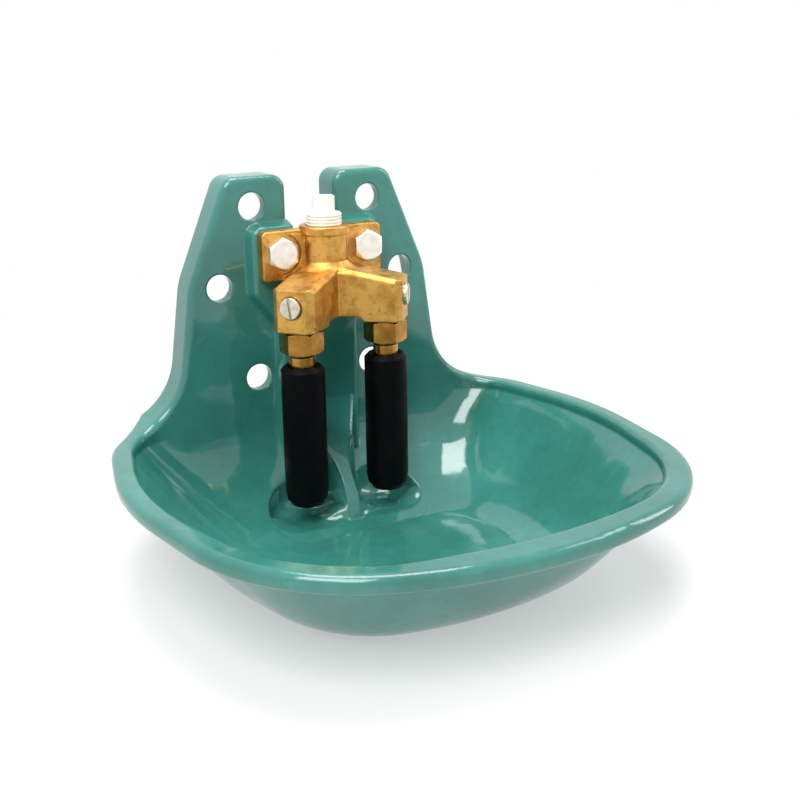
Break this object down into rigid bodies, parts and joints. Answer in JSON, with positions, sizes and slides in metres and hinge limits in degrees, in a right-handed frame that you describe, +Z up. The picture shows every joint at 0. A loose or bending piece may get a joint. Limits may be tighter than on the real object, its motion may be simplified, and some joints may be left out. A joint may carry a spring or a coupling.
{
  "type": "livestock drinking bowl",
  "caption": "Wall-mounted enamelled cast-iron drinking bowl with a brass valve whose two hanging rubber-sleeved tubes let in water when pushed.",
  "frame": {"origin": "on the wall plane, on the plane of symmetry, at the height of the middle pair of mounting holes", "axes": "+Y into the wall, -Y towards the animal, +Z up, X across"},
  "size_m": [0.2952, 0.2723, 0.2081],
  "materials": {
    "teal_enamel": "glossy vitreous enamel on cast iron",
    "cast_brass": "satin as-cast brass",
    "turned_brass": "bright turned brass",
    "zinc_plated_steel": "bright zinc plate",
    "nickel_plate": "satin nickel plate",
    "spring_steel": "bright drawn wire",
    "black_rubber": "satin moulded rubber",
    "seal_rubber": "matt rubber",
    "fibre_seal": "matt vulcanised fibre",
    "ivory_plastic": "satin moulded polyethylene"
  },
  "bodies": {
    "bowl": {"bowl_casting": "teal_enamel", "valve_body": "cast_brass", "valve_bolts": "zinc_plated_steel", "bolt_washers": "zinc_plated_steel", "bolt_nuts": "zinc_plated_steel", "union_nut_left": "turned_brass", "union_nut_right": "turned_brass", "union_seal_left": "fibre_seal", "union_seal_right": "fibre_seal", "seat_washer_left": "seal_rubber", "seat_washer_right": "seal_rubber", "return_spring_left": "spring_steel", "return_spring_right": "spring_steel"},
    "plug": {"inlet_plug": "ivory_plastic"},
    "spring_plate_left": {"spring_plate_left": "turned_brass"},
    "tube_left": {"tube_stem_left": "turned_brass", "tube_sleeve_left": "black_rubber"},
    "regulator_ring_left": {"regulator_o_ring_left": "seal_rubber"},
    "regulator_screw_left": {"regulator_screw_left": "nickel_plate"},
    "spring_plate_right": {"spring_plate_right": "turned_brass"},
    "tube_right": {"tube_stem_right": "turned_brass", "tube_sleeve_right": "black_rubber"},
    "regulator_ring_right": {"regulator_o_ring_right": "seal_rubber"},
    "regulator_screw_right": {"regulator_screw_right": "nickel_plate"}
  },
  "joints": [
    {"name": "plug_lift", "type": "slide", "parent": "bowl", "child": "plug", "axis": [0, 0, 1], "range_m": [0, 0.025]},
    {"name": "tube_push_left", "type": "hinge", "parent": "bowl", "child": "spring_plate_left", "pos_m": [-0.0269, -0.0633, -0.023], "axis": [1, 0, 0], "range_deg": [-4, 4], "stiffness_Nm_per_rad": 4},
    {"name": "tube_sway_left", "type": "hinge", "parent": "spring_plate_left", "child": "tube_left", "pos_m": [-0.0269, -0.0633, -0.023], "axis": [0, 1, 0], "range_deg": [-4, 4], "stiffness_Nm_per_rad": 4},
    {"name": "regulator_travel_left", "type": "slide", "parent": "bowl", "child": "regulator_ring_left", "axis": [-0.7699, -0.6382, 0], "range_m": [0, 0.003]},
    {"name": "regulator_turn_left", "type": "hinge", "parent": "regulator_ring_left", "child": "regulator_screw_left", "pos_m": [-0.03614, -0.07096, -0.0055], "axis": [-0.7699, -0.6382, 0], "range_deg": [0, 1080]},
    {"name": "tube_push_right", "type": "hinge", "parent": "bowl", "child": "spring_plate_right", "pos_m": [0.0269, -0.0633, -0.023], "axis": [1, 0, 0], "range_deg": [-4, 4], "stiffness_Nm_per_rad": 4},
    {"name": "tube_sway_right", "type": "hinge", "parent": "spring_plate_right", "child": "tube_right", "pos_m": [0.0269, -0.0633, -0.023], "axis": [0, 1, 0], "range_deg": [-4, 4], "stiffness_Nm_per_rad": 4},
    {"name": "regulator_travel_right", "type": "slide", "parent": "bowl", "child": "regulator_ring_right", "axis": [0.7699, -0.6382, 0], "range_m": [0, 0.003]},
    {"name": "regulator_turn_right", "type": "hinge", "parent": "regulator_ring_right", "child": "regulator_screw_right", "pos_m": [0.03614, -0.07096, -0.0055], "axis": [0.7699, -0.6382, 0], "range_deg": [0, 1080]}
  ],
  "couplings": [
    {"joint": "regulator_travel_left", "follows": "regulator_turn_left", "m_per_rad": 0.000159},
    {"joint": "regulator_travel_right", "follows": "regulator_turn_right", "m_per_rad": 0.000159}
  ]
}
